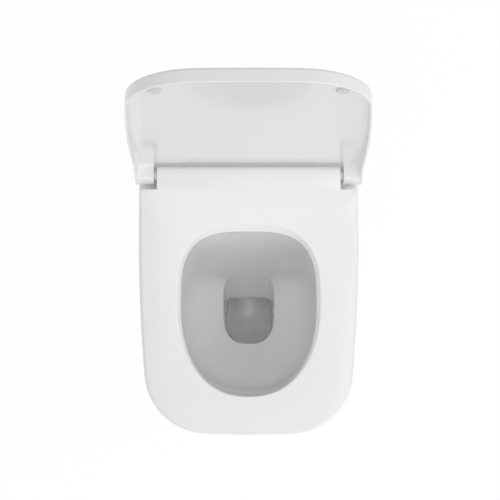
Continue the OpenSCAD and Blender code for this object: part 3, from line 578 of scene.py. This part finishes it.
def seatOutline():
    # closed outline, from the middle of the rear edge round the right side and the front
    width = rimPlan["halfWidth"] - seat["inset"]
    r, rear = seat["cornerRadius"], seat["shoulderY"]
    half = [(x, rear) for x in (0, 25, 50, 75, 100, 120, 135, 145, seat["tabHalf"], 152, 156, 161, 166)]
    corner = [radians(a) for a in (0, 18, 36, 54, 72)]
    half += [(width - r + r * sin(a), rear - r + r * cos(a)) for a in corner]
    half += rimHalf(-seat["inset"], rear - r, seat["steps"])
    return half + [(-x, y) for x, y in reversed(half[1:-1])]


seatEdge = [Vector(p) for p in seatOutline()]
openingCentre = Vector((0, mix(seat["openRear"], seat["openFront"], seat["openMiddle"])))


def seatDirections():
    # for each point of the outline, the way to the opening's middle, scaled to one unit of inset
    ways = []
    for i, point in enumerate(seatEdge):
        run = seatEdge[(i + 1) % len(seatEdge)] - seatEdge[i - 1]
        inward = Vector((run.y, -run.x)).normalized()
        way = (openingCentre - point).normalized()
        ways.append(way / max(0.4, way.dot(inward)))
    return ways


seatWays = seatDirections()


def crownShare(point):
    # the crown falls away fully at the front and sides, less beside the hinge and not behind the tab
    if point.y > seat["shoulderY"] - 0.01:
        return seat["rearShare"] * smoothStep((abs(point.x) - seat["tabHalf"]) / seat["rearBlend"])
    rise = smoothStep((point.y - seat["shoulderY"] + seat["riseStart"]) / seat["riseLength"])
    return 1 - seat["riseShare"] * rise


def crownDrop(inside):
    # long slope of the crown and the quicker fall at its edge
    slope = seat["crownSlope"] * (1 - inside / seat["crownWidth"]) ** seat["crownPower"]
    edge = seat["crownEdge"] * max(0, 1 - inside / seat["edgeWidth"]) ** seat["edgePower"]
    return slope + edge


def roundDrop(inside):
    r = seat["edgeRound"]
    return r - sqrt(r * r - max(0, r - inside) ** 2)


def seatRow(inside, z):
    return [(*(p + w * inside), z) for p, w in zip(seatEdge, seatWays)]


def crownRow(inside):
    row = []
    for point, way in zip(seatEdge, seatWays):
        drop = max(roundDrop(inside), crownDrop(inside) * crownShare(point))
        row.append((*(point + way * inside), seat["crest"] - drop))
    return row


def openingRow(lower, out, z):
    # ring round the opening: lower is 0 at the bevel's upper edge and 1 at its foot
    wide = seat["openHalfWidth"] - seat["bevelSide"] * lower + out
    rear = seat["openRear"] - seat["bevelRear"] * lower + out
    front = seat["openFront"] + seat["bevelFront"] * lower - out
    middle = mix(rear, front, seat["openMiddle"])
    rearPower = mix(seat["rearPower"], seat["footPower"], lower)
    row = []
    for x, y in seatEdge:
        half = rear - middle if y > middle else middle - front
        angle = atan2((y - middle) / half, x / wide)
        reach = powerReach(angle, rearPower if y > middle else seat["frontPower"])
        row.append((wide * reach * cos(angle), middle + half * reach * sin(angle), z))
    return row


def cavityRow(inside, z):
    # outer edge of the hollow under the ring: it stops short of the hinge
    row = []
    for point, way in zip(seatEdge, seatWays):
        spot = point + way * inside
        limit = seat["cavityRear"] + seat["rib"] - inside
        if spot.y > limit:
            away = point - openingCentre
            spot = openingCentre + away * ((limit - openingCentre.y) / away.y)
        row.append((*spot, z))
    return row


def buildSeat():
    # rings from the underside's outer edge over the crown, down the bevel and back under the ring
    bm = bmesh.new()
    low, high = seat["bottom"], seat["crest"]
    first = ring = startRing(bm, seatRow(2, low))
    rows = [seatRow(0.6, low + 0.6), seatRow(0, low + 2), seatRow(0, (low + high) / 2)]
    rows += [crownRow(d) for d in crownSteps]
    plateau = openingRow(0, 7, high)
    rows.append([mixPoint(p, q, 0.5) for p, q in zip(rows[-1], plateau)])
    rows.append(plateau)
    bevel = [(0, 3, 0), (0, 1.5, 0.12), (0.02, 0.6, 0.45), (0.08, 0.1, 1.1), (0.2, 0, 2.1), (0.5, 0, 4.7),
             (0.8, 0, 7.2), (0.94, 0, 8.5), (1, 0, 9.7), (1, 0, 11), (1, 0, 17)]
    rows += [openingRow(lower, out, high - drop) for lower, out, drop in bevel]
    roof = low + seat["cavity"]
    rib = seat["openRib"]
    under = [(0, low + 4), (0.5, low + 2), (1.6, low + 0.5), (3, low), (rib - 0.8, low), (rib, low + 0.8),
             (rib, low + 3), (rib, roof - 1.5), (rib + 1, roof), (rib + 5, roof)]
    rows += [openingRow(1, out, z) for out, z in under]
    rib = seat["rib"]
    outer = [(rib + 4, roof), (rib + 1, roof), (rib, roof - 1.5), (rib, low + 3), (rib, low + 0.8),
             (rib - 0.8, low)]
    rows += [cavityRow(inside, z) for inside, z in outer]
    for row in rows:
        ring = nextRing(bm, ring, row)
    bmesh.ops.bridge_loops(bm, edges=ringEdges(bm, ring) + ringEdges(bm, first))
    return bm


def tabSection():
    # side view of the hinge tab in (y, z) about the hinge axis
    top = seat["crest"] - hingeAxis["z"]
    r, flat = seat["tabRadius"], seat["tabTopFrom"]
    low = seat["bottom"] - hingeAxis["z"]
    points = [(-30, top - 4), (-24.6, top), (-12, top), (0, top)]
    points += [(flat + (r - flat) * sin(radians(a)), top * cos(radians(a))) for a in range(0, 91, 9)]
    points += [(r * cos(radians(a)), r * sin(radians(a))) for a in range(-9, -131, -9)]
    return points + [(-22.5, low), (-30, low + 3)]


def buildTab():
    # the section drawn in a little at both ends, which rounds their edges
    bm = bmesh.new()
    section = tabSection()
    middle = Vector((-4, -1))
    half = seat["tabHalf"]
    ends = [(half, 1.2), (half - 0.35, 0.35), (half - 1.2, 0)]
    ring = None
    for x, draw in [(-x, draw) for x, draw in ends] + ends[::-1]:
        scale = 1 - draw / seat["tabRadius"]
        points = [Vector(p) * scale + middle * (1 - scale) for p in section]
        row = [(x, hingeAxis["y"] + y, hingeAxis["z"] + z) for y, z in points]
        if ring is None:
            ring = startRing(bm, row)
            fillRing(bm, ring)
        else:
            ring = nextRing(bm, ring, row)
    fillRing(bm, ring)
    return bm


def cutBores(obj, name, start, end):
    # a bore on the hinge axis to each side, from start to end
    bm = bmesh.new()
    r = seat["damperRadius"]
    for side in (-1, 1):
        lathe(bm, [(0, start), (r, start), (r, end), (0, end)], 48, (side, 0, 0),
              (0, hingeAxis["y"], hingeAxis["z"]))
    combine(obj, makeObject(bm, name), "DIFFERENCE")


def cutSeat(obj):
    # tab and buffer bosses go on, the pocket for the hinge and the damper bores come out
    combine(obj, makeObject(buildTab(), "hingeTab"), "UNION")
    bm = bmesh.new()
    r, top = seat["bossRadius"], seat["cavity"] + 1
    for x, y in seat["bufferSpots"]:
        for side in (-1, 1):
            lathe(bm, [(0, 0.2), (r - 0.8, 0.2), (r, 1), (r, top), (0, top)], 40, (0, 0, 1),
                  (side * x, y, seat["bottom"]))
    combine(obj, makeObject(bm, "bufferBosses"), "UNION")
    y, z = hingeAxis["y"], hingeAxis["z"]
    half, reach = seat["pocketHalf"], seat["pocketReach"]
    bm = bmesh.new()
    addBox(bm, (-half, y + seat["pocketFront"], z - reach), (half, y + reach, z + seat["pocketTop"]), 3)
    combine(obj, makeObject(bm, "hingePocket"), "DIFFERENCE")
    cutBores(obj, "damperBores", half - 2, seat["tabHalf"] + 2)


seatRing = makeObject(buildSeat(), "seatRing")
addSubdivision(seatRing, 1)
applyModifiers(seatRing)
cutSeat(seatRing)
finishPiece(seatRing, "seat", materials["seatPlastic"], "seat_ring")
print("seat ring made:", len(seatRing.data.polygons), "faces")


# Cover: panel, skirt and ears in one skin, drawn closed about the hinge axis and turned open

cover = {
    "out": 4, "rear": 15.5, "rearRound": 7, "rearTuck": 4.4, "top": 20.5, "inner": 16.5, "middleY": -330,
    "lip": -0.5, "lipRound": 0.8, "sideRound": 4.5, "roundBlend": 15, "skirt": 3.6,
    "earX": 153.6, "earRadius": 14.5, "earLowY": -8.9,
    "earSlope": 0.381, "earFront": -48, "earFrontZ": 3.5,
    "gussetY": -15, "gussetRise": 7, "gussetLow": -8.3,
    "fillet": 2, "hingeFillet": 9, "filletStart": -160, "filletBlend": 130,
    "panelRear": -17.4, "gapReach": 40, "boreEnd": 178.5, "openAngle": 99, "steps": (26, 22, 20, 12),
    "bufferSpot": (130, -458), "bufferRadius": 9.2, "bufferHeight": 3,
}
coverRear = (0, 0.25, 0.5, 0.68, 0.78, 0.83, 0.855, 0.88, 0.905, 0.93, 0.955, 0.98)


def grownPoint(points, i, grow):
    # point i of the right half of an outline, moved outwards by grow, square to the outline
    x, y = points[i]
    if i == len(points) - 1:
        return x, y - grow
    if y > -rimPlan["straight"] - 0.01:
        return x + grow, y
    run = Vector(points[i + 1]) - Vector(points[i - 1])
    return tuple(Vector((x, y)) + Vector((-run.y, run.x)).normalized() * grow)


def coverRow(inset, rearY, sideHeight, rearHeight, rearShift=lambda x: 0):
    # one ring of the skin: inset and side height depend on the distance behind the axis, the rear on x
    axis = hingeAxis["y"]
    width = rimPlan["halfWidth"] + cover["out"] - inset(rearY)
    half = []
    for x in [width * share for share in coverRear]:
        y = rearY + rearShift(x)
        half.append((x, axis + y, rearHeight(y)))
    outline = rimHalf(0, axis + (rearY + rearShift(width)), cover["steps"])
    for i, (x, y) in enumerate(outline):
        grow = cover["out"] - inset(y - axis)
        half.append((*grownPoint(outline, i, grow), sideHeight(y - axis)))
    return half + [(-x, y, z) for x, y, z in reversed(half[1:-1])]


def lipHeight(y):
    # lower edge of the skirt: it drops along a slope to the round of the ear
    if y < cover["earLowY"]:
        return min(cover["lip"], cover["earFrontZ"] - cover["earSlope"] * (y - cover["earFront"]))
    return -sqrt(max(0, cover["earRadius"] ** 2 - y * y))


def sideRadius(y):
    # round of the upper edge, larger beside the hinge
    fromHinge = smoothStep((cover["rear"] - y) / cover["roundBlend"])
    return mix(cover["rearRound"], cover["sideRound"], fromHinge)


def gusset(x, z):
    # how far the slanted gusset stands beyond the ear's flat, 0 to 1
    skirtX = rimPlan["halfWidth"] + cover["out"] - cover["skirt"]
    across = (abs(x) - cover["earX"]) / (skirtX - cover["earX"])
    up = (z - cover["gussetLow"]) / (cover["inner"] - cover["gussetLow"])
    return max(0, min(1, across + up - 1))


def innerFillet(y):
    # round between panel and skirt, larger beside the hinge
    toHinge = smoothStep((y - cover["filletStart"]) / cover["filletBlend"])
    return mix(cover["fillet"], cover["hingeFillet"], toHinge)


def buildCover():
    # rings from the middle of the outer face over the edge, round the lip and back to the middle inside
    bm = bmesh.new()
    top, inner, rear = cover["top"], cover["inner"], cover["rear"]
    rearRound, lipRound, fillet = cover["rearRound"], cover["lipRound"], cover["fillet"]
    rows = []
    for across, down in roundSteps((90, 78, 66, 54, 42, 28, 14, 0)):
        rows.append(coverRow(lambda y: sideRadius(y) * across, rear - rearRound * across,
                             lambda y: top - sideRadius(y) * down, lambda y: top - rearRound * down))
    centre = (0, cover["middleY"], top)
    rows[0:0] = [[mixPoint(p, centre, t) for p in rows[0]] for t in (0.9, 0.5, 0.15, 0.03)]
    rearLow = lipHeight(rear - cover["rearTuck"])
    for share in (0.25, 0.5, 0.75, 0.92, 1):
        rearZ = mix(top - rearRound, rearLow, share)
        rearY = rear - cover["rearTuck"] * max(0, rearZ / rearLow) ** 1.3
        rows.append(coverRow(lambda y: 0, rearY,
                             lambda y: mix(top - sideRadius(y), lipHeight(y) + lipRound, share),
                             lambda y: rearZ))
    lip = [(0.25, 0.25, 9.6), (0.9, 0, 6), (1.8, 0, 1), (2.7, 0, -5), (3.35, 0.25, -11),
           (cover["skirt"], lipRound, cover["gussetY"])]
    for inset, up, rearY in lip:
        rows.append(coverRow(lambda y: inset, rearY, lambda y: lipHeight(y) + up, lipHeight))
    low = lipHeight(cover["gussetY"])
    for share in (0.2, 0.45, 0.7, 0.88, 1):
        rearZ = mix(low, inner - fillet, share)
        rows.append(coverRow(lambda y: cover["skirt"], cover["gussetY"],
                             lambda y: mix(lipHeight(y) + lipRound, inner - innerFillet(y), share),
                             lambda y: rearZ, lambda x: -cover["gussetRise"] * gusset(x, rearZ)))
    for across, down in roundSteps((22, 45, 68, 90)):
        rearZ = inner - fillet * down
        rows.append(coverRow(lambda y: cover["skirt"] + innerFillet(y) * across,
                             cover["gussetY"] - fillet * across,
                             lambda y: inner - innerFillet(y) * down,
                             lambda y: rearZ, lambda x: -cover["gussetRise"] * gusset(x, rearZ)))
    centre = (0, cover["middleY"], inner)
    rows += [[mixPoint(p, centre, t) for p in rows[-1]] for t in (0.03, 0.15, 0.5, 0.9)]
    ring = None
    for row in rows:
        row = [(x, y, hingeAxis["z"] + z) for x, y, z in row]
        ring = startRing(bm, row) if ring is None else nextRing(bm, ring, row)
    return bm


def closeHoles(obj):
    # closes the middles of both faces, left open until the subdivision is done
    bm = bmesh.new()
    bm.from_mesh(obj.data)
    bmesh.ops.holes_fill(bm, edges=bm.edges, sides=0)
    bmesh.ops.recalc_face_normals(bm, faces=bm.faces)
    bm.to_mesh(obj.data)
    bm.free()


def turnOpen(obj):
    pivot = Vector((0, hingeAxis["y"], hingeAxis["z"])) * mm
    turn = Matrix.Translation(pivot) @ Matrix.Rotation(radians(-cover["openAngle"]), 4, "X")
    obj.data.transform(turn @ Matrix.Translation(-pivot))


def cutCover(obj):
    # the gap for the hinge tab and the bores in the ears
    y, z, half, reach = hingeAxis["y"], hingeAxis["z"], cover["earX"], cover["gapReach"]
    bm = bmesh.new()
    addBox(bm, (-half, y + cover["panelRear"], z - reach), (half, y + reach, z + reach))
    combine(obj, makeObject(bm, "hingeGap"), "DIFFERENCE")
    cutBores(obj, "earBores", half - 2, cover["boreEnd"])


openCover = makeObject(buildCover(), "openCover")
addSubdivision(openCover, 1)
applyModifiers(openCover)
closeHoles(openCover)
cutCover(openCover)
turnOpen(openCover)
finishPiece(openCover, "cover", materials["seatPlastic"], "lid")
print("cover made:", len(openCover.data.polygons), "faces")


# Buffers: dished discs inside the cover and rounded feet under the seat

def buildCoverBuffers():
    bm = bmesh.new()
    r, h = cover["bufferRadius"], cover["bufferHeight"]
    profile = [(0, h - 0.7), (r * 0.55, h - 0.65), (r * 0.66, h - 0.45), (r * 0.72, h - 0.1),
               (r * 0.78, h), (r * 0.88, h - 0.05), (r * 0.96, h - 0.5), (r, h - 1.2), (r, 0.25),
               (r - 0.3, 0), (0, 0)]
    x, y = cover["bufferSpot"]
    for side in (-1, 1):
        lathe(bm, profile, 56, (0, 0, -1), (side * x, y, hingeAxis["z"] + cover["inner"]))
    return bm


def buildSeatBuffers():
    # rounded feet with a peg that goes up into the ring's boss
    bm = bmesh.new()
    r, h = seat["footRadius"], seat["bottom"] - rimPlan["rimHeight"] - seat["footGap"]
    profile = [(0, h), (r * 0.5, h), (r - 2.2, h - 0.1), (r - 1, h - 0.7), (r - 0.3, h - 1.8),
               (r, h - 3.2), (r, 0.3), (r - 0.3, 0), (3, 0), (2.9, -0.4), (2.9, -4.6), (2.5, -5), (0, -5)]
    for x, y in seat["bufferSpots"]:
        for side in (-1, 1):
            lathe(bm, profile, 48, (0, 0, -1), (side * x, y, seat["bottom"]))
    return bm


coverBuffers = makeObject(buildCoverBuffers(), "coverBuffers")
turnOpen(coverBuffers)
finishPiece(coverBuffers, "cover", materials["bufferPlastic"], "lid_buffers", 40)
seatBuffers = makeObject(buildSeatBuffers(), "seatBuffers")
finishPiece(seatBuffers, "seat", materials["bufferPlastic"], "seat_buffers", 40)
print("buffers made")


# Floor, light and camera

studio = {
    "cameraPlace": (0.0021, -0.4261, 2.2818), "tilt": 5.08, "lens": 97.41, "sensor": 36,
    "floorZ": -0.33, "floorSize": 14, "floorShade": 0.8, "floorRoughness": 0.7,
    "floorGlow": 0.9, "glowStrength": 1.035,
    "sky": [(0, 0.9), (0.64, 0.7), (0.9, 0.12)],  # shade by place, from the front to the wall
    "keyPower": 15, "keySize": 2.2, "keyPlace": (1.7, -0.6, 1.9),
    "topPower": 4, "topSize": 1.8, "topPlace": (0.15, -0.45, 2.9),
    "target": (0, -0.3, 0.05),
}


def mixShaders(tree, share, first, second, output):
    mixer = tree.nodes.new("ShaderNodeMixShader")
    tree.links.new(share, mixer.inputs["Fac"])
    tree.links.new(first, mixer.inputs[1])
    tree.links.new(second, mixer.inputs[2])
    tree.links.new(mixer.outputs["Shader"], tree.nodes[output].inputs["Surface"])


def seenRays(tree, share):
    # share for camera, glossy and transmission rays, 0 for the rays that carry light
    path = tree.nodes.new("ShaderNodeLightPath")
    total = path.outputs["Is Camera Ray"]
    for name in ("Is Glossy Ray", "Is Transmission Ray"):
        step = tree.nodes.new("ShaderNodeMath")
        step.operation = "MAXIMUM"
        tree.links.new(total, step.inputs[0])
        tree.links.new(path.outputs[name], step.inputs[1])
        total = step.outputs["Value"]
    scaled = tree.nodes.new("ShaderNodeMath")
    scaled.operation = "MULTIPLY"
    scaled.inputs[1].default_value = share
    tree.links.new(total, scaled.inputs[0])
    return scaled.outputs["Value"]


def makeFloor():
    # pale floor that glows to the eye but keeps the object's shadow
    bm = bmesh.new()
    bmesh.ops.create_grid(bm, x_segments=8, y_segments=8, size=studio["floorSize"] / 2)
    bmesh.ops.translate(bm, verts=bm.verts, vec=(0, 0, studio["floorZ"]))
    obj = makeObject(bm, "studioFloor")
    material, tree, shader = newMaterial("paleFloor")
    shader.inputs["Base Color"].default_value = (*[studio["floorShade"]] * 3, 1)
    shader.inputs["Roughness"].default_value = studio["floorRoughness"]
    glow = tree.nodes.new("ShaderNodeEmission")
    glow.inputs["Strength"].default_value = studio["glowStrength"]
    mixShaders(tree, seenRays(tree, studio["floorGlow"]), shader.outputs["BSDF"],
               glow.outputs["Emission"], "Material Output")
    obj.data.materials.append(material)


def makeWorld():
    # the sky is white where it is seen, and lights least from where the wall would be
    world = bpy.data.worlds.new("studioWorld")
    scene.world = world
    world.use_nodes = True
    tree = world.node_tree
    plain = tree.nodes["Background"]
    coords = tree.nodes.new("ShaderNodeTexCoord")
    split = tree.nodes.new("ShaderNodeSeparateXYZ")
    spread = tree.nodes.new("ShaderNodeMapRange")
    spread.inputs["From Min"].default_value = -1
    ramp = tree.nodes.new("ShaderNodeValToRGB")
    ramp.color_ramp.elements.new(0.5)
    for stop, (place, shade) in zip(ramp.color_ramp.elements, studio["sky"]):
        stop.position = place
        stop.color = (shade, shade, shade, 1)
    tree.links.new(coords.outputs["Generated"], split.inputs["Vector"])
    tree.links.new(split.outputs["Y"], spread.inputs["Value"])
    tree.links.new(spread.outputs["Result"], ramp.inputs["Fac"])
    tree.links.new(ramp.outputs["Color"], plain.inputs["Color"])
    white = tree.nodes.new("ShaderNodeBackground")
    white.inputs["Color"].default_value = (1, 1, 1, 1)
    white.inputs["Strength"].default_value = 1
    mixShaders(tree, seenRays(tree, 1), plain.outputs["Background"], white.outputs["Background"],
               "World Output")


def makeLamp(name):
    # an area lamp that looks at the middle of the seat
    data = bpy.data.lights.new(name + "Light", "AREA")
    data.energy = studio[name + "Power"]
    data.size = studio[name + "Size"]
    lamp = bpy.data.objects.new(name + "Light", data)
    scene.collection.objects.link(lamp)
    lamp.location = studio[name + "Place"]
    way = Vector(studio["target"]) - lamp.location
    lamp.rotation_euler = way.to_track_quat("-Z", "Y").to_euler()


def makeCamera():
    data = bpy.data.cameras.new("productCamera")
    data.lens = studio["lens"]
    data.sensor_width = studio["sensor"]
    camera = bpy.data.objects.new("productCamera", data)
    scene.collection.objects.link(camera)
    camera.location = studio["cameraPlace"]
    camera.rotation_euler = (radians(studio["tilt"]), 0, 0)
    scene.camera = camera


makeFloor()
makeWorld()
makeLamp("key")
makeLamp("top")
makeCamera()
scene.view_settings.view_transform = "Standard"
print("floor, lamps and camera made")


# Carried-over CAD nodes get their finishes
slotFinish = {
    "ceramic": "glaze", "seat_plastic": "seatPlastic", "white_plastic": "whitePlastic",
    "buffer_plastic": "bufferPlastic", "grey_plastic": "greyPlastic", "soft_rubber": "softRubber",
    "foam": "foam", "zinc_steel": "zincSteel", "stainless": "stainless",
}
for part in frame["record"]["subparts"]:
    node = cadNodes[part["node"]]
    node.data.materials.clear()
    node.data.materials.append(materials[slotFinish[part["material_slot"]]])

print("scene ready")
